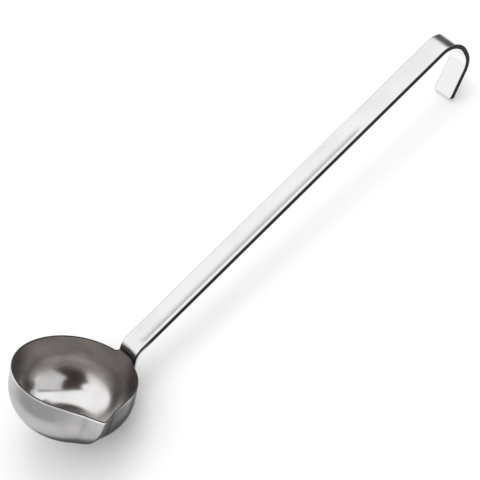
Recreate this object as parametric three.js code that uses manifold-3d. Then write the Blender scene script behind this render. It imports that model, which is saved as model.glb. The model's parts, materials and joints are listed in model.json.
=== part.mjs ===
// Sauce ladle in stainless steel: a drawn bowl with a V pouring lip, a strip handle with a pressed groove
// and a hook, and the three weld plugs that hold the handle's tab to the bowl. Millimetres, +Z up.
// The pieces are made with the bowl upright: the centre of its rim is the origin, its axis is Z and the
// handle leaves along +X. The finished ladle is then laid down as it lies on a table.
import * as THREE from "three";
import { mergeVertices } from "three/addons/utils/BufferGeometryUtils.js";
import Module from "manifold-3d";

const wasm = await Module();
wasm.setup();

const { PI, abs, acos, asin, atan2, cos, hypot, max, min, sin, sqrt } = Math;
const radians = THREE.MathUtils.degToRad;
const smooth = (value, from, to) => THREE.MathUtils.smoothstep(value, from, to);

// Bowl
const RIM_RADIUS = 40;
const BOWL_DEPTH = 38.5;
const BOWL_WALL = 1;
const BOWL_CORNER_RADIUS = 28;
const BOWL_SEGMENTS = 100;
const CORNER_STEPS = 7;
const WALL_STEPS = 4;
const LIP_CROWDING = 0.6;

// V pouring lip, at an angle from the handle that is anticlockwise from above. Its flanks leave the wall
// over a part of its height, and the fold of its nose runs on down to a foot above the base.
const LIP_DIRECTION = radians(-104);
const LIP_REACH = 12;
const LIP_FOOT = 1;
const LIP_FLANK_REACH = 10.4;
const LIP_FLANK_HEIGHT = 36;
const LIP_FOLD_SPREAD = radians(12);
const LIP_NOSE_ROUNDING = radians(2);

// Lug that the rim rises to in front of the handle
const LUG_RISE = 3;
const LUG_BLEND = 5;

// Handle strip
const STRIP_WIDTH = 16;
const STRIP_THICKNESS = 3.2;
const STRIP_EDGE_RADIUS = 0.6;
const HANDLE_ANGLE = radians(41);
const HANDLE_RUN = 268.5;
const TAB_LENGTH = 13;
const TAB_CORNER_RADIUS = 4;
const NECK_RADIUS = 9.7;
const NECK_HEIGHT = 2.4;

// Pressed groove in the front of the handle, a rib on its back: the run is left plain beside the hook
const GROOVE_WIDTH = 11;
const GROOVE_DEPTH = 0.9;
const GROOVE_START = 0.5;
const GROOVE_FOOT = 6;
const GROOVE_FADE = 12;
const GROOVE_LAND = 0.3;
const PLAIN_LENGTH = 67;

// Hook: a bend, a short straight crown, a second bend and a straight return
const HOOK_RADIUS = 12.6;
const HOOK_FIRST_TURN = radians(90);
const HOOK_CROWN = 3.2;
const HOOK_SECOND_TURN = radians(56);
const HOOK_RETURN = 21.5;
const HOOK_CORNER_RADIUS = 2;

// Weld plugs
const WELD_DIAMETER = 4;
const WELD_FOOT_MARGIN = 3.5;
const WELD_SIDE_MARGIN = 4;
const WELD_RIM_MARGIN = 2.5;
const WELD_DIMPLE = 0.3;
const WELD_SIDES = 20;

// Clearances between pieces that touch
const TAB_CLEARANCE = 0.3;
const WELD_CLEARANCE = 0.3;

// Sections drawn along each stretch of the strip
const ROUNDING_STEPS = 5;
const TAB_STEPS = 3;
const NECK_STEPS = 8;
const GROOVE_END_STEPS = 6;
const GROOVE_RUN_STEPS = 3;
const GROOVE_ACROSS_STEPS = 8;
const FIRST_BEND_STEPS = 10;
const SECOND_BEND_STEPS = 6;

// Points closer than this are one point
const MERGE_DISTANCE = 1e-4;

const steel = (color, roughness) => new THREE.MeshStandardMaterial({ color, roughness, metalness: 1 });
const BOWL_STEEL = steel(0xb4b4b6, 0.3);
const HANDLE_STEEL = steel(0xd8d9da, 0.25);
const weldSteel = () => steel(0xa9a8a6, 0.45);

// Bowl

// The round corner between base and wall, in the plane of the profile.
const CORNER_RADIUS = min(BOWL_CORNER_RADIUS, RIM_RADIUS - BOWL_WALL, BOWL_DEPTH - BOWL_WALL);
const CORNER_CENTRE = new THREE.Vector2(RIM_RADIUS - CORNER_RADIUS, CORNER_RADIUS - BOWL_DEPTH);

// Outline of the sheet from the middle of its underside, up the outside, over the rim and back inside.
function bowlProfile() {
  const edge = BOWL_WALL / 2;
  const side = (inset) => {
    const radius = CORNER_RADIUS - inset;
    const points = [new THREE.Vector2(0, CORNER_CENTRE.y - radius)];
    for (let i = 0; i <= CORNER_STEPS; i++) {
      const turn = (PI / 2) * (i / CORNER_STEPS);
      const onCorner = new THREE.Vector2(sin(turn), -cos(turn)).multiplyScalar(radius);
      points.push(onCorner.add(CORNER_CENTRE));
    }
    for (let i = 1; i <= WALL_STEPS; i++) {
      const height = THREE.MathUtils.lerp(CORNER_CENTRE.y, -edge, i / WALL_STEPS);
      points.push(new THREE.Vector2(CORNER_CENTRE.x + radius, height));
    }
    return points;
  };
  const rimTop = new THREE.Vector2(RIM_RADIUS - edge, 0);
  return [...side(0), rimTop, ...side(BOWL_WALL).reverse()];
}

// How far a line that leans straight back to the wall stands out of it, at a height under the rim.
const leaningBack = (reach, height, z) => reach * max(0, 1 + min(z, 0) / height);

// The flanks are tangents to the round wall, and the nose is a narrower fold with a rounded ridge.
function lipRadius(radius, offset, z) {
  const nose = leaningBack(LIP_REACH, BOWL_DEPTH - LIP_FOOT, z);
  const flank = min(nose, leaningBack(LIP_FLANK_REACH, LIP_FLANK_HEIGHT, z));
  const away = hypot(offset, LIP_NOSE_ROUNDING) - LIP_NOSE_ROUNDING;
  const tangent = radius / cos(max(0, acos(radius / (radius + flank)) - away));
  return tangent + (nose - flank) * max(0, 1 - away / LIP_FOLD_SPREAD);
}

// The bowl's segments crowd towards the lip, and the lip is drawn out of the round wall.
function drawLip(point) {
  const radius = hypot(point.x, point.y);
  const turned = atan2(point.y, point.x) - LIP_DIRECTION;
  const even = atan2(sin(turned), cos(turned));
  const offset = even - LIP_CROWDING * sin(even);
  const drawn = radius > 0 ? lipRadius(radius, offset, point.z) : 0;
  point.x = drawn * cos(LIP_DIRECTION + offset);
  point.y = drawn * sin(LIP_DIRECTION + offset);
}

// The rim rises in front of the handle, over the strip's width, and runs out beside it.
function raiseLug(point) {
  if (point.x <= 0 || point.z < -TAB_LENGTH) return;
  const beside = abs(point.y) - STRIP_WIDTH / 2;
  const share = smooth(point.z, -TAB_LENGTH, 0) * (1 - smooth(beside, -LUG_BLEND / 2, LUG_BLEND / 2));
  point.z += LUG_RISE * share;
}

function bowlGeometry() {
  const turned = new THREE.LatheGeometry(bowlProfile(), BOWL_SEGMENTS, LIP_DIRECTION + PI / 2);
  turned.rotateX(PI / 2);
  const position = turned.attributes.position;
  const point = new THREE.Vector3();
  for (let i = 0; i < position.count; i++) {
    point.fromBufferAttribute(position, i);
    drawLip(point);
    raiseLug(point);
    position.setXYZ(i, point.x, point.y, point.z);
  }
  return turned;
}

// Handle

const TAB_FACE = RIM_RADIUS + TAB_CLEARANCE;
const NECK_TURN = PI / 2 - HANDLE_ANGLE;

// The strip's middle line, as straight and bent stretches: length, and the turn made along it.
const STRETCHES = [
  { length: TAB_LENGTH + NECK_HEIGHT, turn: 0 },
  { length: NECK_TURN * (NECK_RADIUS + STRIP_THICKNESS / 2), turn: -NECK_TURN },
  { length: HANDLE_RUN, turn: 0 },
  { length: HOOK_FIRST_TURN * (HOOK_RADIUS + STRIP_THICKNESS / 2), turn: -HOOK_FIRST_TURN },
  { length: HOOK_CROWN, turn: 0 },
  { length: HOOK_SECOND_TURN * (HOOK_RADIUS + STRIP_THICKNESS / 2), turn: -HOOK_SECOND_TURN },
  { length: HOOK_RETURN, turn: 0 },
];
const STRIP_LENGTH = STRETCHES.reduce((sum, stretch) => sum + stretch.length, 0);
const NECK_FROM = STRETCHES[0].length;
const RUN_FROM = NECK_FROM + STRETCHES[1].length;
const HOOK_FROM = RUN_FROM + HANDLE_RUN;
const CROWN_FROM = HOOK_FROM + STRETCHES[3].length;
const CROWN_TO = CROWN_FROM + HOOK_CROWN;
const RETURN_FROM = STRIP_LENGTH - HOOK_RETURN;
const GROOVE_FROM = RUN_FROM + GROOVE_START;
const GROOVE_TO = HOOK_FROM - PLAIN_LENGTH;

// Place and heading of the middle line at a distance from the tab's foot.
function middleLine(distance) {
  let x = TAB_FACE + STRIP_THICKNESS / 2;
  let z = -TAB_LENGTH;
  let heading = PI / 2;
  let left = distance;
  for (const { length, turn } of STRETCHES) {
    const part = min(left, length);
    if (turn === 0) {
      x += part * cos(heading);
      z += part * sin(heading);
    } else {
      const next = heading + turn * (part / length);
      const radius = length / turn;
      x += radius * (sin(next) - sin(heading));
      z -= radius * (cos(next) - cos(heading));
      heading = next;
    }
    left -= part;
    if (left <= 0) break;
  }
  return { x, z, heading };
}

const grooveDepthAt = (distance) =>
  GROOVE_DEPTH *
  smooth(distance, GROOVE_FROM, GROOVE_FROM + GROOVE_FOOT) *
  (1 - smooth(distance, GROOVE_TO - GROOVE_FADE, GROOVE_TO));

// Half the strip's width: full, but rounded off at the tab's foot and at the hook's end.
function halfWidthAt(distance) {
  const corner = (radius, along) => {
    const inside = max(0, radius - along);
    return radius - sqrt(max(0, radius * radius - inside * inside));
  };
  const foot = corner(TAB_CORNER_RADIUS, distance);
  const end = corner(HOOK_CORNER_RADIUS, STRIP_LENGTH - distance);
  return STRIP_WIDTH / 2 - max(foot, end);
}

// Section of the strip as pairs of offsets, across its width and out of its front, once round.
function sectionPoints(halfWidth, grooveDepth) {
  const flat = halfWidth - STRIP_EDGE_RADIUS;
  const half = min(GROOVE_WIDTH / 2, flat - GROOVE_LAND);
  const across = [-flat];
  for (let i = 0; i <= GROOVE_ACROSS_STEPS; i++) {
    across.push(THREE.MathUtils.lerp(-half, half, i / GROOVE_ACROSS_STEPS));
  }
  across.push(flat);
  const pressed = (y) => (abs(y) < half ? (grooveDepth * (1 + cos((PI * y) / half))) / 2 : 0);
  const thick = STRIP_THICKNESS / 2;
  const front = across.map((y) => [y, thick - pressed(y)]);
  const back = across.map((y) => [y, -thick - pressed(y)]).reverse();
  const edge = thick - STRIP_EDGE_RADIUS;
  const near = [[-halfWidth, -edge], [-halfWidth, edge]];
  const far = [[halfWidth, edge], [halfWidth, -edge]];
  return [...near, ...front, ...far, ...back];
}

// The tab is curved round the bowl's wall, and the curve runs out along the neck.
function curveOfTab(y, height, distance) {
  const radius = TAB_FACE + STRIP_THICKNESS / 2 - height;
  const sag = radius - sqrt(radius * radius - y * y);
  return sag * (1 - smooth(distance, NECK_FROM, RUN_FROM));
}

// Distances along the strip at which a section is drawn.
function stations() {
  const list = [];
  const spread = (from, to, steps) => {
    for (let i = 0; i < steps; i++) list.push(THREE.MathUtils.lerp(from, to, i / steps));
  };
  const rounded = (radius, step) => radius * (1 - cos((PI / 2) * (step / ROUNDING_STEPS)));
  for (let i = 0; i < ROUNDING_STEPS; i++) list.push(rounded(TAB_CORNER_RADIUS, i));
  spread(TAB_CORNER_RADIUS, NECK_FROM, TAB_STEPS);
  spread(NECK_FROM, RUN_FROM, NECK_STEPS);
  spread(RUN_FROM, GROOVE_FROM, 1);
  spread(GROOVE_FROM, GROOVE_FROM + GROOVE_FOOT, GROOVE_END_STEPS);
  spread(GROOVE_FROM + GROOVE_FOOT, GROOVE_TO - GROOVE_FADE, GROOVE_RUN_STEPS);
  spread(GROOVE_TO - GROOVE_FADE, GROOVE_TO, GROOVE_END_STEPS);
  spread(GROOVE_TO, HOOK_FROM, 1);
  spread(HOOK_FROM, CROWN_FROM, FIRST_BEND_STEPS);
  spread(CROWN_FROM, CROWN_TO, 1);
  spread(CROWN_TO, RETURN_FROM, SECOND_BEND_STEPS);
  spread(RETURN_FROM, STRIP_LENGTH - HOOK_CORNER_RADIUS, 1);
  for (let i = ROUNDING_STEPS; i >= 0; i--) list.push(STRIP_LENGTH - rounded(HOOK_CORNER_RADIUS, i));
  return list;
}

// A closed skin through rings of equally many points, with a fan over each end.
function loft(rings) {
  const count = rings[0].length;
  const triangles = [];
  for (let r = 0; r + 1 < rings.length; r++) {
    for (let i = 0; i < count; i++) {
      const a = r * count + i;
      const b = r * count + ((i + 1) % count);
      triangles.push(a, a + count, b, b, a + count, b + count);
    }
  }
  const points = rings.flat();
  const cap = (ring, flip) => {
    const start = ring * count;
    const middle = new THREE.Vector3();
    rings[ring].forEach((point) => middle.add(point));
    points.push(middle.divideScalar(count));
    for (let i = 0; i < count; i++) {
      const a = start + i;
      const b = start + ((i + 1) % count);
      triangles.push(points.length - 1, flip ? b : a, flip ? a : b);
    }
  };
  cap(0, false);
  cap(rings.length - 1, true);
  const geometry = new THREE.BufferGeometry().setFromPoints(points);
  geometry.setIndex(triangles);
  return geometry;
}

function stripGeometry() {
  const rings = stations().map((distance) => {
    const { x, z, heading } = middleLine(distance);
    const section = sectionPoints(halfWidthAt(distance), grooveDepthAt(distance));
    return section.map(([y, height]) => {
      const lift = height + curveOfTab(y, height, distance);
      return new THREE.Vector3(x - lift * sin(heading), y, z + lift * cos(heading));
    });
  });
  return loft(rings);
}

// Weld plugs

// One weld near the tab's foot and a pair under the rim.
const WELD_SPOTS = [
  { y: 0, z: WELD_FOOT_MARGIN - TAB_LENGTH },
  { y: WELD_SIDE_MARGIN - STRIP_WIDTH / 2, z: -WELD_RIM_MARGIN },
  { y: STRIP_WIDTH / 2 - WELD_SIDE_MARGIN, z: -WELD_RIM_MARGIN },
];

// A round bar square to the bowl's wall at a weld, between two distances from the bowl's axis.
function weldBar({ y, z }, radius, from, to) {
  const bar = new THREE.CylinderGeometry(radius, radius, to - from, WELD_SIDES);
  bar.rotateZ(-PI / 2);
  bar.translate((from + to) / 2, 0, z);
  bar.rotateZ(asin(y / (TAB_FACE + STRIP_THICKNESS)));
  return bar;
}

// Joins and cuts

function solid(geometry) {
  const bare = geometry.clone();
  bare.deleteAttribute("normal");
  bare.deleteAttribute("uv");
  const merged = mergeVertices(bare, MERGE_DISTANCE);
  const mesh = new wasm.Mesh({
    numProp: 3,
    vertProperties: new Float32Array(merged.attributes.position.array),
    triVerts: new Uint32Array(merged.index.array),
  });
  return new wasm.Manifold(mesh);
}

function geometryOf(body) {
  const { vertProperties, triVerts } = body.getMesh();
  const geometry = new THREE.BufferGeometry();
  geometry.setAttribute("position", new THREE.BufferAttribute(vertProperties, 3));
  geometry.setIndex(new THREE.BufferAttribute(triVerts, 1));
  geometry.computeVertexNormals();
  return geometry;
}

function handleGeometry() {
  const holes = WELD_SPOTS.map((spot) => {
    const past = STRIP_THICKNESS;
    const radius = WELD_DIAMETER / 2 + WELD_CLEARANCE;
    return solid(weldBar(spot, radius, TAB_FACE - past, TAB_FACE + STRIP_THICKNESS + past));
  });
  return geometryOf(holes.reduce((body, hole) => body.subtract(hole), solid(stripGeometry())));
}

// Assembly

const ladle = new THREE.Group();
function addPiece(name, geometry, material) {
  const mesh = new THREE.Mesh(geometry, material);
  mesh.name = name;
  ladle.add(mesh);
}

addPiece("bowl", geometryOf(solid(bowlGeometry())), BOWL_STEEL);
addPiece("handle", handleGeometry(), HANDLE_STEEL);
WELD_SPOTS.forEach((spot, i) => {
  const plug = weldBar(spot, WELD_DIAMETER / 2, TAB_FACE, TAB_FACE + STRIP_THICKNESS - WELD_DIMPLE);
  addPiece(`spot_weld_${i + 1}`, plug, weldSteel());
});

// The ladle lies on the round corner of its bowl and on the outer edge of its hook's end.
const end = middleLine(STRIP_LENGTH);
const cornerToEnd = new THREE.Vector2(
  end.x - (STRIP_THICKNESS / 2) * sin(end.heading),
  end.z + (STRIP_THICKNESS / 2) * cos(end.heading),
).sub(CORNER_CENTRE);
ladle.rotation.y = cornerToEnd.angle() + asin(CORNER_RADIUS / cornerToEnd.length());

const lying = new THREE.Box3().setFromObject(ladle, true);
ladle.position.set(-(lying.min.x + lying.max.x) / 2, -(lying.min.y + lying.max.y) / 2, -lying.min.z);

export default ladle;
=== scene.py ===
# %% [markdown]
# # A stainless steel sauce ladle
# The ladle is two pieces of steel. A sheet is drawn into a deep bowl with a V lip on one side, and a
# strip is bent into a handle with a groove, a hook and a tab that is spot-welded to the bowl.
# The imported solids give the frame: where each piece is, and how large. This script adds finer meshes
# and the finish of the steel, on top of that frame.

import json
from math import acos, cos, exp, hypot, pi, radians, sin

import bpy
from mathutils import Matrix, Vector


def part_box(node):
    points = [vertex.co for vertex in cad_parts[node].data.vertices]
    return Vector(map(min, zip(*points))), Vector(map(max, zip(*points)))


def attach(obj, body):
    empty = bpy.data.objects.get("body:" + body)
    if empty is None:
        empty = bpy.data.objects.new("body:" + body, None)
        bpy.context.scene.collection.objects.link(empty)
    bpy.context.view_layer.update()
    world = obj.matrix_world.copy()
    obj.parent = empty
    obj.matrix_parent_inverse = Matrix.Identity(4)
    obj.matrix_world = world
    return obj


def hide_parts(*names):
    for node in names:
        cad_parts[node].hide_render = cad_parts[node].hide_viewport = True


MM = 0.001

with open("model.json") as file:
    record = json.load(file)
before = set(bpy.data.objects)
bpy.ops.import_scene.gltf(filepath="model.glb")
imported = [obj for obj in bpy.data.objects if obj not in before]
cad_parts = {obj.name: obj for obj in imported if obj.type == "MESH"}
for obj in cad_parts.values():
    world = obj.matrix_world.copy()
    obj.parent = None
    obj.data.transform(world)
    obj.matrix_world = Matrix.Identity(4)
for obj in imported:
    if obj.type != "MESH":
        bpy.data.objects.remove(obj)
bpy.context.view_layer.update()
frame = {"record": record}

# %% [markdown]
# ## The bowl's own frame
# The ladle lies on a table, so its bowl is tilted. A tilted bowl is awkward to describe, and a bowl that
# stands upright is easy: every height has one ring. So the pieces are worked out upright, with the
# centre of the rim as origin and the handle along +X, and a matrix lays them down.
# The matrix could be typed in, but the record already says where the bowl's base is and which way it
# faces, so it is read from there.

# %% Lay-down matrix
BOWL_DEPTH = 38.5 * MM

base_mount = next(m for m in frame["record"]["mounts"] if m["name"] == "bowl_base")
bowl_up = -Vector(base_mount["axis"]).normalized()
bowl_side = Vector((0, 1, 0))
rim_centre = Vector(base_mount["pos_m"]) + BOWL_DEPTH * bowl_up
lay_down = Matrix((bowl_side.cross(bowl_up), bowl_side, bowl_up)).transposed().to_4x4()
lay_down.translation = rim_centre
print("Rim centre:", tuple(round(v, 4) for v in rim_centre))

# %% [markdown]
# ## Writing node trees as expressions
# Node trees get long when each node takes three lines to add, set and link. One small class wraps an
# output socket: arithmetic on it adds Math nodes, and its `node` method adds any other kind.
# Geometry Nodes share the Math nodes with shaders, so the same class serves both.

# %% Wire: a socket with arithmetic
# A Mix node has sockets for every type of value: these are the places of its share and its colours.
MIX_SHARE = 0
MIX_FIRST = 6
MIX_SECOND = 7
MIX_RESULT = 2


class Wire:
    """An output socket of a node tree, on which Python arithmetic adds Math nodes."""

    def __init__(self, tree, socket=None):
        self.tree = tree
        self.socket = socket

    def node(self, kind, settings=None, sockets=None, output=0):
        """Adds a node of any kind: its settings first, then the values or links of its sockets."""
        added = self.tree.nodes.new(kind)
        for name, value in (settings or {}).items():
            setattr(added, name, value)
        for key, value in (sockets or {}).items():
            if isinstance(value, Wire):
                self.tree.links.new(value.socket, added.inputs[key])
            else:
                added.inputs[key].default_value = value
        return Wire(self.tree, added.outputs[output] if added.outputs else None)

    def math(self, operation, *values):
        return self.node("ShaderNodeMath", {"operation": operation}, dict(enumerate(values)))

    def vector(self, operation, *values):
        return self.node("ShaderNodeVectorMath", {"operation": operation}, dict(enumerate(values)))

    def xyz(self, x=0, y=0, z=0):
        """A vector from three numbers."""
        return self.node("ShaderNodeCombineXYZ", None, {"X": x, "Y": y, "Z": z})

    def part(self, axis):
        """One number of this vector."""
        return self.node("ShaderNodeSeparateXYZ", None, {0: self}, output=axis)

    def mix(self, first, second, share):
        """A colour between two colours, by a share."""
        ends = [end if isinstance(end, Wire) else end + (1,) for end in (first, second)]
        sockets = {MIX_SHARE: share, MIX_FIRST: ends[0], MIX_SECOND: ends[1]}
        return self.node("ShaderNodeMix", {"data_type": "RGBA"}, sockets, output=MIX_RESULT)

    def smooth(self, start, end):
        """0 before start, 1 after end, with soft shoulders between."""
        sockets = {"Value": self, "From Min": start, "From Max": end}
        return self.node("ShaderNodeMapRange", {"interpolation_type": "SMOOTHSTEP"}, sockets)

    def root(self):
        return self.math("SQRT", self)

    def at_least(self, low):
        return self.math("MAXIMUM", self, low)

    def at_most(self, high):
        return self.math("MINIMUM", self, high)

    def __add__(self, other):
        return self.math("ADD", self, other)

    def __radd__(self, other):
        return self.math("ADD", other, self)

    def __sub__(self, other):
        return self.math("SUBTRACT", self, other)

    def __rsub__(self, other):
        return self.math("SUBTRACT", other, self)

    def __mul__(self, other):
        return self.math("MULTIPLY", self, other)

    def __rmul__(self, other):
        return self.math("MULTIPLY", other, self)

    def __truediv__(self, other):
        return self.math("DIVIDE", self, other)

    def __rtruediv__(self, other):
        return self.math("DIVIDE", other, self)

    def __abs__(self):
        return self.math("ABSOLUTE", self)


print("Wire wraps sockets of shader and geometry trees")

# %% [markdown]
# ## Finishes: what steel shows
# Polished steel has hardly any colour of its own. What the eye reads as steel is a reflection, blurred a
# little by fine lines left by the polishing wheel. So each finish is a metal with three things that
# vary: lines that follow the way the piece was worked, faint smudges from hands, and edges that were cut
# and never polished. They change roughness and tone, and the lines also tilt the surface a little.
# Painted shade is added on top: on the cut edges, in the folds of the lip, towards the base of the bowl,
# on the rim's top, and in the corner where the handle meets the bowl.

# %% Start a steel finish
SMUDGE_FROM = 0.42
SMUDGE_TO = 0.7
NOISE_MIDDLE = 0.5


def new_finish(name):
    """A material with a Principled shader: returns it, a loose wire to build on, and the shader."""
    material = bpy.data.materials.new(name)
    material.use_nodes = True
    tree = material.node_tree
    shader = tree.nodes["Principled BSDF"]
    shader.inputs["Metallic"].default_value = 1
    return material, Wire(tree), shader


def finish_steel(wire, shader, tone, roughness, lines, depth):
    """Links what varies to the shader: tone, roughness, and the lines as a bump of that depth."""
    tree = wire.tree
    bump = wire.node("ShaderNodeBump", None, {"Strength": 1, "Distance": depth, "Height": lines})
    tree.links.new(tone.socket, shader.inputs["Base Color"])
    tree.links.new(roughness.socket, shader.inputs["Roughness"])
    tree.links.new(bump.socket, shader.inputs["Normal"])


def carried(wire, name):
    """A number that the mesh carries as an attribute."""
    return wire.node("ShaderNodeAttribute", {"attribute_name": name}, output="Fac")


def noise(wire, place, scale, detail, roughness=0.5):
    """Noise from 0 to 1 at a place."""
    sockets = {"Vector": place, "Scale": scale, "Detail": detail, "Roughness": roughness}
    return wire.node("ShaderNodeTexNoise", None, sockets)


def own_place(wire):
    """Where a point is on its own piece."""
    return wire.node("ShaderNodeTexCoord", output="Object")


def smudges(wire, scale):
    """Soft patches, 0 to 1, where hands and cloths have dulled the steel."""
    patches = noise(wire, own_place(wire), scale, detail=4, roughness=0.6)
    return patches.smooth(SMUDGE_FROM, SMUDGE_TO)


def ripples(wire, scale):
    """A slow unevenness of the sheet, -0.5 to 0.5, that bends what it mirrors."""
    return noise(wire, own_place(wire), scale, detail=1) - NOISE_MIDDLE


print("Finish helpers are ready")

# %% [markdown]
# ## Finish of the bowl: where each finish is
# The bowl was turned against a polishing wheel, so its lines run round it. They follow the height along
# the wall, which no plain coordinate gives, so the bowl's mesh carries that length as an attribute named
# wall. The wheel reached the bottom of the inside best: there the steel is a mirror. The inner wall was
# only rubbed, and the outside has a plain satin finish, with painted shade towards the base. The rim has
# a bright band just under its outer edge, and a dark line of painted shade on its top. Two more
# attributes say where the lug and the folds of the lip are, and both get painted shade.

# %% Bowl steel: areas
RIM_RADIUS = 40 * MM
BOWL_WALL = 1 * MM
CORNER_RADIUS = 28 * MM
BOWL_LINES_PER_MM = 3
BOWL_SMUDGE_SCALE = 45
POLISH_FROM = 20 * MM
POLISH_TO = 32 * MM
RIM_BAND = 2.6 * MM
RIM_TOP = 1.3 * MM
RIM_SHADE_BAND = 1.2 * MM

straight_wall = BOWL_DEPTH - CORNER_RADIUS - BOWL_WALL / 2
corner_length = CORNER_RADIUS * pi / 2
half_edge = BOWL_WALL / 2 * pi / 2
rim_at = RIM_RADIUS - CORNER_RADIUS + corner_length + straight_wall + half_edge

bowl_steel, wire, shader = new_finish("bowl_steel")
wall_length = carried(wire, "wall")
line_noise = {"W": wall_length * (BOWL_LINES_PER_MM / MM), "Scale": 1, "Detail": 3, "Roughness": 0.7}
bowl_lines = wire.node("ShaderNodeTexNoise", {"noise_dimensions": "1D"}, line_noise)
bowl_dull = smudges(wire, BOWL_SMUDGE_SCALE)
inside = wall_length.smooth(rim_at - BOWL_WALL / 2, rim_at + BOWL_WALL / 2)
mirror = wall_length.smooth(rim_at + POLISH_FROM, rim_at + POLISH_TO)
past_rim = wall_length - rim_at
over_rim = past_rim.smooth(-RIM_TOP, -RIM_TOP / 3)
lug = carried(wire, "lug")
rim = (past_rim.smooth(-RIM_BAND, -RIM_TOP) - over_rim) * (1 - lug)
# Painted shade: a dark line along the top of the rim and just inside it.
rim_shade = over_rim - past_rim.smooth(RIM_SHADE_BAND / 2, RIM_SHADE_BAND)
# Painted shade over the rim in front of the handle, where the lug meets the strip.
lug_shade = lug * (past_rim.smooth(-2 * RIM_BAND, -RIM_BAND) - over_rim)
fold = carried(wire, "fold") * (1 - inside)
print("Bowl: the rim comes after", round(rim_at / MM, 1), "mm of wall")

# %% [markdown]
# ## Finish of the bowl: tone and shine
# Each area has a tone, and the tones are laid over each other: first the sheet, with painted shade
# towards its base, then what dulls it, in the order in which the bowl was worked, then painted shade in
# the folds, then the rim's bright band, and last painted shade on the rim's top. A texture painted by hand
# could do the same, but it would have to be painted again for a bowl of another size.

# %% Bowl steel: tone and roughness
# Painted shade: the outside of the bowl is darker towards its base, up to these lengths of wall.
UNDERSIDE_SHADE_UNTIL = 30 * MM
UNDERSIDE_SHADE_FADES_TO = 56 * MM
SATIN_OUTSIDE = (0.52, 0.515, 0.515)
RUBBED_WALL = (0.6, 0.56, 0.545)
MIRROR_BOTTOM = (0.88, 0.87, 0.865)
DULLED = (0.4, 0.385, 0.375)
SHADED_UNDERSIDE = (0.36, 0.352, 0.352)
POLISHED_RIM = (0.95, 0.945, 0.94)
FOLD_SHADE = (0.13, 0.12, 0.135)
PAINTED_RIM_SHADE = (0.03, 0.028, 0.028)
BOWL_SMUDGE_SHARE = 0.45
BOWL_LINE_SHARE = 0.5
MIRROR_CLEAN = 0.8
FOLD_SHARE = 0.75
FOLD_SMUDGES = 0.2
RIM_SHADE_SHARE = 0.9
SATIN_ROUGHNESS = 0.26
RUBBED_SMOOTHER = 0.01
MIRROR_SMOOTHER = 0.12
RIM_SMOOTHER = 0.06
BOWL_LINES_ROUGHER = 0.06
BOWL_SMUDGES_ROUGHER = 0.04
BOWL_LINE_HEIGHT = 0.004
RIPPLE_HEIGHT = 0.06
RIPPLE_SCALE = 70

# The outside's tone darkens towards the base: painted shade.
outside_tone = wire.mix(SHADED_UNDERSIDE, SATIN_OUTSIDE, wall_length.smooth(UNDERSIDE_SHADE_UNTIL, UNDERSIDE_SHADE_FADES_TO))
inside_tone = wire.mix(RUBBED_WALL, MIRROR_BOTTOM, mirror)
bowl_tone = wire.mix(outside_tone, inside_tone, inside)
dulling = bowl_dull * BOWL_SMUDGE_SHARE + bowl_lines * BOWL_LINE_SHARE
bowl_tone = wire.mix(bowl_tone, DULLED, dulling * (1 - mirror * MIRROR_CLEAN))
# Painted shade in the folds beside the lip's nose.
bowl_tone = wire.mix(bowl_tone, FOLD_SHADE, fold * (FOLD_SHARE + bowl_dull * FOLD_SMUDGES))
bowl_tone = wire.mix(bowl_tone, POLISHED_RIM, rim)
# Painted shade on the rim's top, and over the rim in front of the handle.
bowl_tone = wire.mix(bowl_tone, PAINTED_RIM_SHADE, (rim_shade + lug_shade) * RIM_SHADE_SHARE)

bowl_roughness = SATIN_ROUGHNESS - inside * RUBBED_SMOOTHER - mirror * MIRROR_SMOOTHER
bowl_roughness = bowl_roughness - rim * RIM_SMOOTHER
bowl_roughness = bowl_roughness + bowl_lines * BOWL_LINES_ROUGHER + bowl_dull * BOWL_SMUDGES_ROUGHER
brushing = bowl_lines * (1 - mirror) * BOWL_LINE_HEIGHT
unevenness = brushing + ripples(wire, RIPPLE_SCALE) * RIPPLE_HEIGHT
finish_steel(wire, shader, bowl_tone, bowl_roughness, unevenness, MM)
print("Finish:", bowl_steel.name, "with", len(bowl_steel.node_tree.nodes), "nodes")

# %% [markdown]
# ## Finish of the handle: where each finish is
# The strip was polished along its length before it was bent, so its lines run along it and turn with it
# into the hook. The mesh carries three attributes for that: along, the distance from the tab's foot,
# across, the distance from the strip's middle, and height, the distance out to the front.
# The long edges were sheared and stayed dull, and painted shade darkens them further, except on their
# back half at the neck. Painted shade also darkens the front of the strip in the corner between the neck
# and the lug.

# %% Handle steel: areas
STRIP_WIDTH = 16 * MM
STRIP_THICKNESS = 3.2 * MM
LINES_ALONG = 25
LINES_ACROSS = 4000
SHEAR_ALONG = 2500
SHEAR_UPRIGHT = 300
HANDLE_SMUDGE_SCALE = 30
EDGE_BAND = 0.7 * MM
CORNER_FROM = 18 * MM
CORNER_TO = 21 * MM
UNSHADED_EDGE_FROM = 17 * MM
UNSHADED_EDGE_TO = 34 * MM
UNSHADED_EDGE_BLEND = 0.8 * MM
UNSHADED_EDGE_SHARE = 0.9

handle_steel, wire, shader = new_finish("handle_steel")
strip_along = carried(wire, "along")
strip_across = carried(wire, "across")
strip_height = carried(wire, "height")
line_place = wire.xyz(strip_along * LINES_ALONG, strip_across * LINES_ACROSS, strip_height * LINES_ACROSS)
handle_lines = noise(wire, line_place, 1, detail=3, roughness=0.6)
shear_place = wire.xyz(strip_along * SHEAR_ALONG, strip_height * SHEAR_UPRIGHT)
shear_marks = noise(wire, shear_place, 1, detail=2)
handle_dull = smudges(wire, HANDLE_SMUDGE_SCALE)

cut_edge = abs(strip_across).smooth(STRIP_WIDTH / 2 - EDGE_BAND, STRIP_WIDTH / 2 - EDGE_BAND / 4)
back_half = 1 - strip_height.smooth(-UNSHADED_EDGE_BLEND / 2, UNSHADED_EDGE_BLEND / 2)
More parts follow.
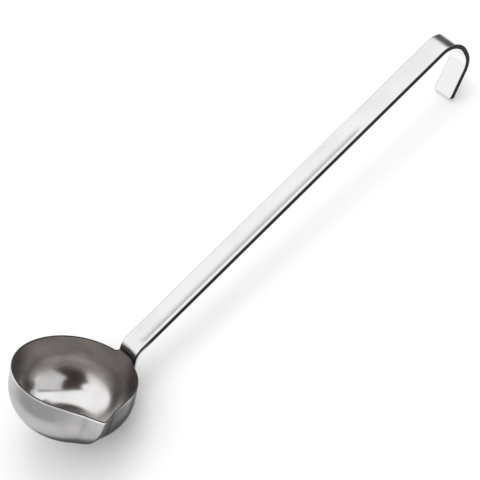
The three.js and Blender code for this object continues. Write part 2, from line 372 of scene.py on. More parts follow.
# The cut edges get painted shade on top of their dull finish; at the neck it is lifted from their back
# half.
unshaded_edge = (1 - strip_along.smooth(UNSHADED_EDGE_FROM, UNSHADED_EDGE_TO)) * back_half
edge_dull_and_shade = cut_edge * (1 - unshaded_edge * UNSHADED_EDGE_SHARE)
on_front = strip_height.smooth(0, STRIP_THICKNESS / 2)
# Painted shade on the strip's front, in the corner between the neck and the lug.
corner_shade = (1 - strip_along.smooth(CORNER_FROM, CORNER_TO)) * on_front
print("Handle: cut edges from", round((STRIP_WIDTH / 2 - EDGE_BAND) / MM, 1), "mm off the middle")

# %% [markdown]
# ## Finish of the handle: tone and shine
# The face is bright and hardly changes, apart from painted shade in the corner at the neck. The edge is
# nearly black, from its dull cut and from painted shade, and its shear marks stand up across it.
# A second material for the edges could do this too, but its border would be as hard as a row of faces.

# %% Handle steel: tone and roughness
BRIGHT_FACE = (0.9, 0.9, 0.9)
HANDLED_FACE = (0.82, 0.815, 0.81)
SHEARED_AND_SHADED_EDGE = (0.008, 0.008, 0.009)
CORNER_SHADE = (0.25, 0.225, 0.215)
HANDLE_SMUDGE_SHARE = 0.5
HANDLE_LINE_SHARE = 0.3
CUT_SHARE = 0.95
CUT_MARKS = 0.05
FACE_ROUGHNESS = 0.16
HANDLE_LINES_ROUGHER = 0.1
HANDLE_SMUDGES_ROUGHER = 0.06
CUT_ROUGHER = 0.25
SHEAR_HEIGHT = 2
HANDLE_LINE_DEPTH = 0.003 * MM

handling = handle_dull * HANDLE_SMUDGE_SHARE + handle_lines * HANDLE_LINE_SHARE
face_tone = wire.mix(BRIGHT_FACE, HANDLED_FACE, handling)
# Painted shade in the corner at the neck.
face_tone = wire.mix(face_tone, CORNER_SHADE, corner_shade)
# The cut edges: dull sheared steel, darkened further with painted shade.
handle_tone = wire.mix(face_tone, SHEARED_AND_SHADED_EDGE, edge_dull_and_shade * (CUT_SHARE + shear_marks * CUT_MARKS))
handle_roughness = FACE_ROUGHNESS + handle_lines * HANDLE_LINES_ROUGHER
handle_roughness = handle_roughness + handle_dull * HANDLE_SMUDGES_ROUGHER + cut_edge * CUT_ROUGHER
handle_marks = handle_lines + cut_edge * shear_marks * SHEAR_HEIGHT
finish_steel(wire, shader, handle_tone, handle_roughness, handle_marks, HANDLE_LINE_DEPTH)
print("Finish:", handle_steel.name, "with", len(handle_steel.node_tree.nodes), "nodes")

# %% [markdown]
# ## Finish of the weld marks
# A spot weld leaves a small round dent. The current heats the steel, so the mark is duller than the
# strip, with a straw-brown ring round it that the polishing never quite took off. The marks carry their
# own radius as an attribute, from 0 in the middle to 1 at the rim, and a mix of colours follows it.

# %% Weld steel
WELD_GRAIN_SCALE = 2500
WELD_GREY = (0.66, 0.65, 0.64)
HEAT_TINT = (0.46, 0.4, 0.36)
RING_FROM = 0.35
RING_FULL = 0.6
RING_FADES = 0.7
RING_TO = 1
RING_SHARE = 0.6
RING_GRAIN = 0.4
WELD_ROUGHNESS = 0.3
WELD_GRAIN_ROUGHER = 0.2
WELD_GRAIN_DEPTH = 0.01 * MM

weld_steel, wire, shader = new_finish("weld_steel")
weld_radius = carried(wire, "radius")
weld_grain = noise(wire, own_place(wire), WELD_GRAIN_SCALE, detail=3)
heat_ring = weld_radius.smooth(RING_FROM, RING_FULL) - weld_radius.smooth(RING_FADES, RING_TO)
weld_tone = wire.mix(WELD_GREY, HEAT_TINT, heat_ring * (RING_SHARE + weld_grain * RING_GRAIN))
weld_roughness = WELD_ROUGHNESS + weld_grain * WELD_GRAIN_ROUGHER
finish_steel(wire, shader, weld_tone, weld_roughness, weld_grain, WELD_GRAIN_DEPTH)
print("Finish:", weld_steel.name, "with", len(weld_steel.node_tree.nodes), "nodes")

# %% [markdown]
# ## The bowl: one drawn sheet
# The press draws a flat sheet into a cup: a flat base, a wide round corner and a short straight wall.
# A Solidify modifier could give the sheet its thickness, but it thins out at the V lip. So the outline of
# the sheet itself, up the outside, over the rim and down the inside, is turned round the axis, ring by
# ring, and each ring is then pushed out into the lip and up into the lug that carries the handle.

# %% Outline of the sheet
BASE_STEPS = 5
CORNER_STEPS = 26
WALL_STEPS = 14
RIM_STEPS = 6

corner_r = RIM_RADIUS - CORNER_RADIUS
corner_z = CORNER_RADIUS - BOWL_DEPTH


def sheet_side(inset):
    """One face of the sheet, from the middle of the base to just under the rim."""
    radius = CORNER_RADIUS - inset
    points = [(corner_r * i / BASE_STEPS, corner_z - radius) for i in range(BASE_STEPS)]
    for i in range(CORNER_STEPS + 1):
        turn = pi / 2 * i / CORNER_STEPS
        points.append((corner_r + radius * sin(turn), corner_z - radius * cos(turn)))
    rise = -BOWL_WALL / 2 - corner_z
    points += [(corner_r + radius, corner_z + rise * i / WALL_STEPS) for i in range(1, WALL_STEPS + 1)]
    return points


def sheet_edge():
    """The rounded edge of the rim, between the two faces."""
    half = BOWL_WALL / 2
    turns = [pi * i / RIM_STEPS for i in range(1, RIM_STEPS)]
    return [(RIM_RADIUS - half + half * cos(turn), half * sin(turn) - half) for turn in turns]


bowl_outline = sheet_side(0) + sheet_edge() + sheet_side(BOWL_WALL)[::-1]
print("Outline of the sheet:", len(bowl_outline), "points")

# %% [markdown]
# ## The V lip and the lug
# The lip is folded out of the wall on the side that faces the viewer. Seen from above, its flanks are
# straight lines that touch the round wall, and they meet at a nose. Seen from the side, flanks and nose
# lean back into the wall on the way down, the flanks sooner, so the nose ends in a narrow fold.
# The lug is the other change: the rim rises in front of the handle, over the strip's width.
# Both could be sculpted, but as sums they follow any change of the bowl's size.

# %% Push out the lip, raise the lug
LIP_DIRECTION = radians(-104)
LIP_REACH = 12 * MM
LIP_HEIGHT = BOWL_DEPTH - 1 * MM
LIP_FLANK_REACH = 10.4 * MM
LIP_FLANK_HEIGHT = 36 * MM
LIP_FOLD_SPREAD = radians(12)
LIP_NOSE_ROUNDING = radians(1.2)
FOLD_WIDTH = radians(2.3)
FAR_FOLD_SHARE = 0.25
LUG_RISE = 3 * MM
LUG_BLEND = 5 * MM
TAB_LENGTH = 13 * MM


def smoothstep(value, start, end):
    share = min(1, max(0, (value - start) / (end - start)))
    return share * share * (3 - 2 * share)


def leaning_back(reach, height, z):
    """How far a line that leans straight back to the wall stands out of it, at a height."""
    return reach * max(0, 1 + min(z, 0) / height)


def lip_radius(radius, offset, z):
    """Radius of the wall at an angle off the lip's direction: flanks, then the fold of the nose."""
    nose = leaning_back(LIP_REACH, LIP_HEIGHT, z)
    flank = min(nose, leaning_back(LIP_FLANK_REACH, LIP_FLANK_HEIGHT, z))
    away = hypot(offset, LIP_NOSE_ROUNDING) - LIP_NOSE_ROUNDING
    touching = radius / cos(max(0, acos(radius / (radius + flank)) - away))
    return touching + (nose - flank) * max(0, 1 - away / LIP_FOLD_SPREAD)


def lug_share(x, y):
    """1 in front of the handle, over the strip's width, and 0 away from it."""
    beside = abs(y) - STRIP_WIDTH / 2
    return 1 - smoothstep(beside, -LUG_BLEND / 2, LUG_BLEND / 2) if x > 0 else 0


def lug_rise(x, y, z):
    """How far a point of the wall is raised in front of the handle."""
    return LUG_RISE * smoothstep(z, -TAB_LENGTH, 0) * lug_share(x, y)


def fold_shade(offset):
    """How much painted shade lies in the folds beside the nose: more on the side of the handle."""
    handle_side = (offset - LIP_FOLD_SPREAD) / FOLD_WIDTH
    far_side = (offset + LIP_FOLD_SPREAD) / FOLD_WIDTH
    return exp(-(handle_side**2)) + FAR_FOLD_SHARE * exp(-(far_side**2))


print("Lip at", round(LIP_DIRECTION * 180 / pi), "degrees from the handle")

# %% [markdown]
# ## Turning the outline
# A Spin or a Screw modifier would give evenly spaced rings. The lip needs them closer together, because
# its folds are narrow, so the angles are crowded towards it. The first and the last point of the outline
# lie on the axis, where a whole ring would fold into one point, so each is one vertex with a fan.

# %% Turn the outline
BOWL_SEGMENTS = 320
LIP_CROWDING = 0.65


def off_lip(segment):
    """A segment's angle off the lip's direction: the segments crowd towards the lip."""
    even = 2 * pi * segment / BOWL_SEGMENTS - pi
    return even - LIP_CROWDING * sin(even)


def bowl_point(r, z, segment):
    """A point of the sheet on one of the segments, laid down with the ladle."""
    offset = off_lip(segment)
    radius = lip_radius(r, offset, z)
    x = radius * cos(LIP_DIRECTION + offset)
    y = radius * sin(LIP_DIRECTION + offset)
    return lay_down @ Vector((x, y, z + lug_rise(x, y, z)))


def bowl_mesh():
    """Vertices and faces of the turned sheet: the rings, and a fan at each end of the outline."""
    rings = bowl_outline[1:-1]
    vertices = [bowl_point(r, z, s) for r, z in rings for s in range(BOWL_SEGMENTS)]
    under = len(vertices)
    last = under - BOWL_SEGMENTS
    for _, z in (bowl_outline[0], bowl_outline[-1]):
        vertices.append(lay_down @ Vector((0, 0, z)))
    faces = []
    for ring in range(len(rings) - 1):
        here = ring * BOWL_SEGMENTS
        above = here + BOWL_SEGMENTS
        for s in range(BOWL_SEGMENTS):
            following = (s + 1) % BOWL_SEGMENTS
            faces.append((here + s, here + following, above + following, above + s))
    for s in range(BOWL_SEGMENTS):
        following = (s + 1) % BOWL_SEGMENTS
        faces.append((under, following, s))
        faces.append((under + 1, last + s, last + following))
    return vertices, faces


bowl_vertices, bowl_faces = bowl_mesh()
print("Turned sheet:", len(bowl_vertices), "points on", BOWL_SEGMENTS, "segments")

# %% [markdown]
# ## The bowl as a piece
# The finish needs to know the way up the wall, the lug and the folds at each point. They could be guessed
# from the place of a point, but the turning knows them exactly, so they go onto the mesh as attributes.

# %% Bowl mesh
ring_count = len(bowl_outline) - 2


def new_piece(name, vertices, faces):
    """A smooth-shaded mesh object, at the origin, with its place in its vertices."""
    mesh = bpy.data.meshes.new(name)
    mesh.from_pydata(vertices, [], faces)
    mesh.validate()
    mesh.shade_smooth()
    piece = bpy.data.objects.new(name, mesh)
    bpy.context.scene.collection.objects.link(piece)
    return piece


def carry(piece, name, values):
    """Gives each point of a piece a number, under a name."""
    piece.data.attributes.new(name, "FLOAT", "POINT").data.foreach_set("value", values)


def wall_lengths():
    """The way along the sheet from the middle of the base, at each point of the outline."""
    lengths = [0]
    for (r0, z0), (r1, z1) in zip(bowl_outline, bowl_outline[1:]):
        lengths.append(lengths[-1] + hypot(r1 - r0, z1 - z0))
    return lengths


def lug_at(offset):
    """The lug's share on the rim, at an angle off the lip's direction."""
    turn = offset + LIP_DIRECTION
    return lug_share(RIM_RADIUS * cos(turn), RIM_RADIUS * sin(turn))


lengths = wall_lengths()
walls = [length for length in lengths[1:-1] for _ in range(BOWL_SEGMENTS)]
offsets = [off_lip(s) for s in range(BOWL_SEGMENTS)]
lugs = [lug_at(offset) for offset in offsets]
# How much painted shade each fold of the lip gets.
folds = [fold_shade(offset) for offset in offsets]

bowl = new_piece("bowl_shell", bowl_vertices, bowl_faces)
carry(bowl, "wall", walls + [lengths[0], lengths[-1]])
carry(bowl, "lug", lugs * ring_count + [0, 0])
carry(bowl, "fold", folds * ring_count + [0, 0])
bowl.data.materials.append(bowl_steel)
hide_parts("bowl")
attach(bowl, "root")
print("Bowl:", len(bowl.data.polygons), "faces")

# %% [markdown]
# ## The handle's middle line
# The handle is one strip, bent in one plane: a straight tab against the bowl, a neck, the long run, and
# the hook, which is two bends with a short crown between and a straight return. Straight stretches and
# bends laid end to end describe it exactly. They are walked in small steps, closer together at the ends,
# where the strip's corners are rounded.

# %% Walk the strip
TAB_CLEARANCE = 0.3 * MM
NECK_HEIGHT = 2.4 * MM
NECK_RADIUS = 9.7 * MM
HANDLE_ANGLE = radians(41)
HANDLE_RUN = 268.5 * MM
HOOK_RADIUS = 12.6 * MM
HOOK_FIRST_TURN = radians(90)
HOOK_CROWN = 3.2 * MM
HOOK_SECOND_TURN = radians(56)
HOOK_RETURN = 21.5 * MM
TAB_CORNER = 4 * MM
HOOK_CORNER = 2 * MM

neck_turn = pi / 2 - HANDLE_ANGLE
neck_length = neck_turn * (NECK_RADIUS + STRIP_THICKNESS / 2)
hook_bend = HOOK_RADIUS + STRIP_THICKNESS / 2

# Each stretch: its length, the turn made along it, and the size of the steps it is walked in.
stretches = (
    (TAB_CORNER, 0, 0.2 * MM),
    (TAB_LENGTH + NECK_HEIGHT - TAB_CORNER, 0, 0.8 * MM),
    (neck_length, -neck_turn, 0.5 * MM),
    (HANDLE_RUN, 0, 1.5 * MM),
    (HOOK_FIRST_TURN * hook_bend, -HOOK_FIRST_TURN, 0.6 * MM),
    (HOOK_CROWN, 0, 0.8 * MM),
    (HOOK_SECOND_TURN * hook_bend, -HOOK_SECOND_TURN, 0.6 * MM),
    (HOOK_RETURN - HOOK_CORNER, 0, 1 * MM),
    (HOOK_CORNER, 0, 0.15 * MM),
)


def walk_strip():
    """Points of the middle line, from the tab's foot to the end of the hook, laid down."""
    x = RIM_RADIUS + TAB_CLEARANCE + STRIP_THICKNESS / 2
    z = -TAB_LENGTH
    heading = pi / 2
    points = [(x, z)]
    for length, turn, step in stretches:
        count = round(length / step)
        half = turn / count / 2
        chord = length / count * (sin(half) / half if half else 1)
        for _ in range(count):
            heading += half
            x += chord * cos(heading)
            z += chord * sin(heading)
            heading += half
            points.append((x, z))
    return [lay_down @ Vector((x, 0, z)) for x, z in points]


strip_points = walk_strip()
strip_length = sum(stretch[0] for stretch in stretches)
neck_from = TAB_LENGTH + NECK_HEIGHT
run_from = neck_from + neck_length
hook_from = run_from + HANDLE_RUN
print("Strip:", round(strip_length / MM, 1), "mm long, in", len(strip_points) - 1, "steps")

# %% [markdown]
# ## Geometry trees
# A strip that follows a line, and one mark set on three points, are both work for Geometry Nodes. Every
# tree starts with the same inputs and ends with the same nodes, so both ends are written once, with the
# two nodes that keep a value on the points under a name and read it back later.


# %% Start and end a geometry tree
def new_tree(name, sizes):
    """A geometry tree with a geometry input, one named number for each size, and a geometry output."""
    tree = bpy.data.node_groups.new(name, "GeometryNodeTree")
    tree.interface.new_socket("Geometry", in_out="OUTPUT", socket_type="NodeSocketGeometry")
    tree.interface.new_socket("Geometry", in_out="INPUT", socket_type="NodeSocketGeometry")
    for size in sizes:
        tree.interface.new_socket(size, in_out="INPUT", socket_type="NodeSocketFloat")
    wire = Wire(tree)
    entry = tree.nodes.new("NodeGroupInput")
    return wire, {socket.name: Wire(tree, socket) for socket in entry.outputs if socket.name}


def store(wire, geometry, name, value, kind="FLOAT"):
    """Stores a value on a geometry's points under a name."""
    settings = {"data_type": kind, "domain": "POINT"}
    sockets = {"Geometry": geometry, "Name": name, "Value": value}
    return wire.node("GeometryNodeStoreNamedAttribute", settings, sockets)


def stored(wire, name, kind="FLOAT"):
    """Reads a stored value back."""
    return wire.node("GeometryNodeInputNamedAttribute", {"data_type": kind}, {"Name": name})


def end_tree(wire, geometry, material):
    """Closes a tree: real geometry in place of instances, smooth shading, and the finish."""
    real = wire.node("GeometryNodeRealizeInstances", None, {"Geometry": geometry})
    smoothed = wire.node("GeometryNodeSetShadeSmooth", None, {"Geometry": real})
    painted = wire.node("GeometryNodeSetMaterial", None, {"Geometry": smoothed, "Material": material})
    wire.node("NodeGroupOutput", None, {"Geometry": painted})


print("Geometry helpers are ready")

# %% [markdown]
# ## The handle: a strip along a line
# A strip that follows a line is what Curve to Mesh is for: it carries a rounded rectangle along the line.
# That gives a plain strip. The line and the section first store where they are as attributes, because
# the next step works every point out anew from them, and the finish reads them too.

# %% Strip tree: the plain strip
SECTION_STEP = 0.25 * MM

strip_sizes = {
    "Width": STRIP_WIDTH,
    "Thickness": STRIP_THICKNESS,
    "Edge Radius": 0.6 * MM,
    "Length": strip_length,
    "Tab Corner": TAB_CORNER,
    "Hook Corner": HOOK_CORNER,
    "Wall Radius": RIM_RADIUS + TAB_CLEARANCE + STRIP_THICKNESS / 2,
    "Tab To": neck_from,
    "Neck To": run_from,
    "Groove Width": 11 * MM,
    "Groove Depth": 0.9 * MM,
    "Groove From": run_from + 0.5 * MM,
    "Groove Foot": 3 * MM,
    "Groove To": hook_from - 67 * MM,
    "Groove Fade": 12 * MM,
}

wire, size = new_tree("strip_handle", strip_sizes)
line = wire.node("GeometryNodeMeshToCurve", None, {"Mesh": size["Geometry"]})
distance = wire.node("GeometryNodeSplineParameter", output="Length")
line = store(wire, line, "along", distance)
line = store(wire, line, "middle", wire.node("GeometryNodeInputPosition"), "FLOAT_VECTOR")
tangent = wire.node("GeometryNodeInputTangent")
front = tangent.vector("CROSS_PRODUCT", tangent, bowl_side)
line = store(wire, line, "front", front, "FLOAT_VECTOR")

sides = {"Width": size["Width"], "Height": size["Thickness"]}
rectangle = wire.node("GeometryNodeCurvePrimitiveQuadrilateral", None, sides)
fillet = {"Curve": rectangle, "Count": 8, "Radius": size["Edge Radius"]}
rounded = wire.node("GeometryNodeFilletCurve", {"mode": "POLY"}, fillet)
spacing = {"Curve": rounded, "Length": SECTION_STEP}
section = wire.node("GeometryNodeResampleCurve", {"mode": "LENGTH"}, spacing)
section_place = wire.node("GeometryNodeInputPosition")
section = store(wire, section, "across", section_place.part("X"))
section = store(wire, section, "height", section_place.part("Y"))
swept = {"Curve": line, "Profile Curve": section, "Fill Caps": True}
strip = wire.node("GeometryNodeCurveToMesh", None, swept)
print("Strip tree: the plain strip takes", len(wire.tree.nodes), "nodes")

# %% [markdown]
# ## Shaping the strip
# The corners of both ends are rounded, the tab is bent to the round wall, and the groove is pressed in.
# The tab's sag is the height of a circle over its chord: the further a point is from the middle, the
# more it leans towards the bowl. The groove is an arc across the strip, steepest where it meets the flat
# lands, and it fades in at the foot and out before the plain end. Cutting with a second solid could make
# these shapes too, but it leaves ragged faces on a shiny strip, and here the even mesh only moves.


# %% Strip tree: corners, tab and groove
def corner_inset(distance_in, radius):
    """How far a rounded corner steps back from a side, at a distance in from the end."""
    short = (radius - distance_in).at_least(0)
    return radius - (radius * radius - short * short).root()


along = stored(wire, "along")
across = stored(wire, "across")
height = stored(wire, "height")
to_end = size["Length"] - along

side_inset = corner_inset(along, size["Tab Corner"]) + corner_inset(to_end, size["Hook Corner"])
face_inset = corner_inset(along, size["Edge Radius"]) + corner_inset(to_end, size["Edge Radius"])
sideways = across * (1 - side_inset / (size["Width"] / 2))
upright = height * (1 - face_inset / (size["Thickness"] / 2))

wall = size["Wall Radius"] - upright
sag = wall - (wall * wall - sideways * sideways).root()
on_tab = 1 - along.smooth(size["Tab To"], size["Neck To"])

reach_across = (abs(across) / (size["Groove Width"] / 2)).at_most(1)
pressed_across = 1 - reach_across * reach_across
foot_end = size["Groove From"] + size["Groove Foot"]
fade_start = size["Groove To"] - size["Groove Fade"]
pressed_along = along.smooth(size["Groove From"], foot_end) - along.smooth(fade_start, size["Groove To"])
pressed = size["Groove Depth"] * pressed_across * pressed_along

lift = upright + sag * on_tab - pressed
front = stored(wire, "front", "FLOAT_VECTOR")
lifted = wire.node("ShaderNodeVectorMath", {"operation": "SCALE"}, {0: front, "Scale": lift})
beside = lifted.vector("ADD", lifted, wire.xyz(y=sideways))
place = beside.vector("ADD", beside, stored(wire, "middle", "FLOAT_VECTOR"))
shaped = wire.node("GeometryNodeSetPosition", None, {"Geometry": strip, "Position": place})
end_tree(wire, shaped, handle_steel)
strip_tree = wire.tree
print("Strip tree: the finished handle takes", len(strip_tree.nodes), "nodes")

# %% [markdown]
# ## From a modifier to a plain mesh
# A modifier's inputs are set through the sockets' identifiers, before Blender first works the tree out.
# The result is then copied into a plain mesh, and the modifier goes, because a finished piece is a mesh
# that any other program can read.


# %% Grow a piece from a tree
def grow(name, points, edges, tree, sizes, vectors=None):
    """Runs a tree on points and edges, and returns the result as a plain mesh object."""
    seed = bpy.data.meshes.new(name + "_seed")
    seed.from_pydata(points, edges, [])
    if vectors:
        flat = [value for vector in vectors for value in vector]
        seed.attributes.new("outward", "FLOAT_VECTOR", "POINT").data.foreach_set("vector", flat)
    grower = bpy.data.objects.new(name + "_seed", seed)
    bpy.context.scene.collection.objects.link(grower)
    modifier = grower.modifiers.new("grow", "NODES")
    modifier.node_group = tree
    for socket in tree.interface.items_tree:
        if socket.name in sizes:
            modifier[socket.identifier] = sizes[socket.name]
    evaluated = grower.evaluated_get(bpy.context.evaluated_depsgraph_get())
    mesh = bpy.data.meshes.new_from_object(evaluated)
    mesh.name = name
    bpy.data.objects.remove(grower)
    piece = bpy.data.objects.new(name, mesh)
    bpy.context.scene.collection.objects.link(piece)
    return piece


print("grow() turns points and a tree into a plain mesh")

# %% [markdown]
# ## The handle as a piece
# The middle line goes into the tree as points joined by edges. The strip's edges are rounded by a few
# small faces each, so everything may shade smoothly, apart from the caps, which meet it at a sharp angle.

# %% Handle mesh
SHARP_ANGLE = radians(50)

strip_edges = [(i, i + 1) for i in range(len(strip_points) - 1)]
handle = grow("handle_strip", strip_points, strip_edges, strip_tree, strip_sizes)
handle.data.set_sharp_from_angle(angle=SHARP_ANGLE)
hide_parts("handle")
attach(handle, "root")
print("Handle:", len(handle.data.polygons), "faces")

# %% [markdown]
# ## The weld marks
# Three spot welds hold the tab: one near its foot and two side by side under the rim. Each is the same
# small dent, so one mark is made in the tree and set on three points, turned to face out of the tab.
# The mark is a squashed ball with a hollow pressed into its middle, half sunk in the steel.

# %% Weld tree
HOLLOW_FROM = 0.2
HOLLOW_TO = 0.8

weld_sizes = {"Radius": 2 * MM, "Stand": 0.22 * MM, "Dent": 0.2 * MM}

wire, size = new_tree("weld_marks", weld_sizes)
ball = {"Segments": 40, "Rings": 24, "Radius": size["Radius"]}
mark = wire.node("GeometryNodeMeshUVSphere", None, ball)
mark_place = wire.node("GeometryNodeInputPosition")
mark_x = mark_place.part("X")
mark_y = mark_place.part("Y")
mark_z = mark_place.part("Z")
from_axis = (mark_x * mark_x + mark_y * mark_y).root()
mark = store(wire, mark, "radius", from_axis / size["Radius"])
hollow = size["Dent"] * (1 - stored(wire, "radius").smooth(HOLLOW_FROM, HOLLOW_TO))
squashed = mark_z * (size["Stand"] / size["Radius"])
flattened = wire.xyz(mark_x, mark_y, squashed - hollow)
mark = wire.node("GeometryNodeSetPosition", None, {"Geometry": mark, "Position": flattened})
outward_there = stored(wire, "outward", "FLOAT_VECTOR")
facing = wire.node("FunctionNodeAlignRotationToVector", {"axis": "Z"}, {"Vector": outward_there})
setting = {"Points": size["Geometry"], "Instance": mark, "Rotation": facing}
marks = wire.node("GeometryNodeInstanceOnPoints", None, setting)
end_tree(wire, marks, weld_steel)
weld_tree = wire.tree
print("Weld tree:", len(weld_tree.nodes), "nodes")

# %% [markdown]
# ## The weld marks as a piece
# The tab's back is round like the wall, so a mark beside the middle faces a little to its side. Its place
# and its direction come from the same circle, which keeps all three marks flush with the tab.

# %% Weld marks
WELD_SPREAD = 4 * MM
WELD_LOW = -9.5 * MM
WELD_HIGH = -2.5 * MM

tab_back = RIM_RADIUS + TAB_CLEARANCE + STRIP_THICKNESS
weld_spots = ((0, WELD_LOW), (-WELD_SPREAD, WELD_HIGH), (WELD_SPREAD, WELD_HIGH))

weld_points = []
weld_facings = []
for y, z in weld_spots:
    outward = Vector(((tab_back**2 - y**2) ** 0.5, y, 0)) / tab_back
    weld_points.append(lay_down @ (outward * tab_back + Vector((0, 0, z))))
    weld_facings.append(lay_down.to_3x3() @ outward)
welds = grow("weld_marks", weld_points, [], weld_tree, weld_sizes, weld_facings)
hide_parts("spot_weld_1", "spot_weld_2", "spot_weld_3")
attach(welds, "root")
print("Weld marks:", len(welds.data.polygons), "faces")

# %% [markdown]
# ## The table
# Steel is only as good as what it mirrors. The room is white, as in a light tent, and so is the table.
# It is a plain square, so wide that its edge is lost in the white of the room.

# %% Floor
FLOOR_HALF = 4
TABLE_WHITE = (0.96, 0.96, 0.96)


def plain_surface(name, colour):
    """A matt material of one colour, for the stage."""
    material = bpy.data.materials.new(name)
    material.use_nodes = True
    shader = material.node_tree.nodes["Principled BSDF"]
    shader.inputs["Base Color"].default_value = colour + (1,)
    shader.inputs["Roughness"].default_value = 1
    shader.inputs["Specular IOR Level"].default_value = 0
    return material


floor_signs = ((-1, -1), (1, -1), (1, 1), (-1, 1))
floor_corners = [(FLOOR_HALF * x, FLOOR_HALF * y, 0) for x, y in floor_signs]
floor = new_piece("floor", floor_corners, [(0, 1, 2, 3)])
floor.data.materials.append(plain_surface("white_table", TABLE_WHITE))
print("Floor:", 2 * FLOOR_HALF, "m square")

# %% [markdown]
# ## The camera
# The ladle is seen from far away through a long lens, which keeps near and far parts in proportion.
# A camera could be aimed with a Track To constraint, but that leaves its roll to chance. So its place and
# two of its axes are given, as they were fitted to the rim, the lip and the edges of the handle.

# %% Camera
CAMERA_PLACE = Vector((-0.272547, -0.943429, 1.2438))
CAMERA_RIGHT = Vector((0.7314, -0.60547, -0.31376))
CAMERA_BACK = Vector((-0.16968, -0.60721, 0.77621))
CAMERA_LENS = 185.04
CAMERA_SENSOR = 36

camera_data = bpy.data.cameras.new("camera")
camera_data.sensor_width = CAMERA_SENSOR
camera_data.sensor_fit = "HORIZONTAL"
camera_data.lens = CAMERA_LENS
camera = bpy.data.objects.new("camera", camera_data)
camera_up = CAMERA_BACK.cross(CAMERA_RIGHT)
camera_turn = Matrix((CAMERA_RIGHT, camera_up, CAMERA_BACK)).transposed().to_4x4()
camera.matrix_world = Matrix.Translation(CAMERA_PLACE) @ camera_turn
bpy.context.scene.collection.objects.link(camera)
bpy.context.scene.camera = camera
print("Camera:", round(CAMERA_PLACE.length, 2), "m away, lens", CAMERA_LENS, "mm")

# %% [markdown]
# ## A sheet of painted shade under the bowl
# On a white table, the underside of a shiny bowl would vanish. A grey sheet under it draws the dark line
# that parts the bowl from the table: it is a painted reflection of the table's shade. The sheet shows in
# reflections only, like the cards that follow, so the table itself stays white.

# %% Shade sheet
SHADE_SHEET_RADIUS = 50 * MM
SHADE_SHEET_SIDES = 48
SHADE_SHEET_SHIFT = Vector((-0.014, -0.002))
SHADE_SHEET_HEIGHT = 0.2 * MM
SHADE_SHEET_GREY = 0.16


def grey(level):
    return (level, level, level)


def only_mirrored(sheet, colour):
    """Colours a sheet and hides it from all but reflections."""
    sheet.data.materials.append(plain_surface(sheet.name, colour))
    sheet.visible_camera = False
    sheet.visible_diffuse = False
    sheet.visible_shadow = False


# A grey sheet that stands in for the table's shade, seen only in reflections.
shade_sheet_place = Vector((rim_centre.x + SHADE_SHEET_SHIFT.x, rim_centre.y + SHADE_SHEET_SHIFT.y, SHADE_SHEET_HEIGHT))
shade_sheet_corners = []
for i in range(SHADE_SHEET_SIDES):
    turn = 2 * pi * i / SHADE_SHEET_SIDES
    shade_sheet_corners.append(shade_sheet_place + SHADE_SHEET_RADIUS * Vector((cos(turn), sin(turn), 0)))
shade_sheet = new_piece("shade_sheet_card", shade_sheet_corners, [tuple(range(SHADE_SHEET_SIDES))])
only_mirrored(shade_sheet, grey(SHADE_SHEET_GREY))
print("Mat:", round(2 * SHADE_SHEET_RADIUS / MM), "mm across")

# %% [markdown]
# ## Cards round the room
# A dark card stands where the viewer stands, with a grey one beside it: they give the inside of the bowl
# its depth. The others stand low round the table: one draws the soft shade on the outside of the bowl,
# one the dark band on the hook, and three, each lighter than the one below, the shade in the groove.
# Flat cards could stand there too, but a card that curves round the piece it serves is set by the angles
# that it covers, and it is those angles that the steel mirrors.

# %% Cards
CARD_GRID = 12
VIEWER_SHADE = (0.04, 0.026, 0.022)

table_middle = Vector()
hook_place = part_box("handle")[1] - Vector((HOOK_RADIUS, STRIP_WIDTH / 2, HOOK_RADIUS))


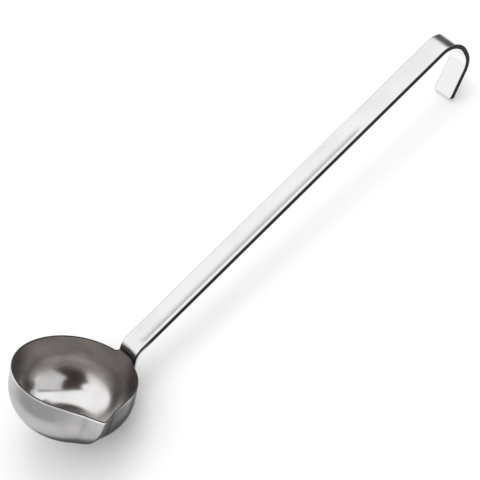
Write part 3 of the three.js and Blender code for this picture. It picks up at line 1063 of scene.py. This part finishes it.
def card(name, seen_from, distance, turn, rise, colour):
    """A curved card that only reflections see, from one compass angle and one height to another."""
    points = []
    for i in range(CARD_GRID + 1):
        azimuth = radians(turn[0] + (turn[1] - turn[0]) * i / CARD_GRID)
        for j in range(CARD_GRID + 1):
            elevation = radians(rise[0] + (rise[1] - rise[0]) * j / CARD_GRID)
            level = distance * cos(elevation)
            offset = Vector((level * cos(azimuth), level * sin(azimuth), distance * sin(elevation)))
            points.append(seen_from + offset)
    row = CARD_GRID + 1
    corners = [i * row + j for i in range(CARD_GRID) for j in range(CARD_GRID)]
    sheet = new_piece(name, points, [(c, c + 1, c + row + 1, c + row) for c in corners])
    only_mirrored(sheet, colour)
    return sheet


cards = (
    card("viewer_card", rim_centre, distance=1.5, turn=(-136, -16), rise=(8, 78), colour=VIEWER_SHADE),
    card("side_card", rim_centre, distance=1.3, turn=(-76, -20), rise=(3, 46), colour=grey(0.6)),
    card("bowl_card", rim_centre, distance=0.32, turn=(122, 212), rise=(-7, 11), colour=grey(0.4)),
    card("hook_card", hook_place, distance=0.45, turn=(12, 66), rise=(-2, 33), colour=grey(0.06)),
    card("groove_card_low", table_middle, distance=1.9, turn=(62, 112), rise=(6, 22), colour=grey(0.42)),
    card("groove_card_middle", table_middle, distance=1.9, turn=(62, 112), rise=(22, 34), colour=grey(0.6)),
    card("groove_card_high", table_middle, distance=1.9, turn=(62, 112), rise=(34, 44), colour=grey(0.8)),
)
print("Cards:", [sheet.name for sheet in cards])

# %% [markdown]
# ## Light
# The white room itself is the light, at a strength at which white is white. One large soft lamp stands on
# the far side, so that the table under the ladle has a soft shadow and the handle a bright face.

# %% World and lamp
LAMP_PLACE = Vector((0.7, 0.4, 1.5))
LAMP_SIZE = 1.2
LAMP_POWER = 6

world = bpy.data.worlds.new("white_room")
bpy.context.scene.world = world
world.use_nodes = True
room = world.node_tree.nodes["Background"]
room.inputs["Color"].default_value = (1, 1, 1, 1)
room.inputs["Strength"].default_value = 1

lamp_data = bpy.data.lights.new("soft_lamp", "AREA")
lamp_data.shape = "DISK"
lamp_data.size = LAMP_SIZE
lamp_data.energy = LAMP_POWER
lamp = bpy.data.objects.new("soft_lamp", lamp_data)
lamp_turn = LAMP_PLACE.to_track_quat("Z", "Y").to_matrix().to_4x4()
lamp.matrix_world = Matrix.Translation(LAMP_PLACE) @ lamp_turn
bpy.context.scene.collection.objects.link(lamp)
lamp.visible_glossy = False
bpy.context.scene.view_settings.view_transform = "Standard"
print("Light: white room and one lamp of", lamp_data.energy, "W")
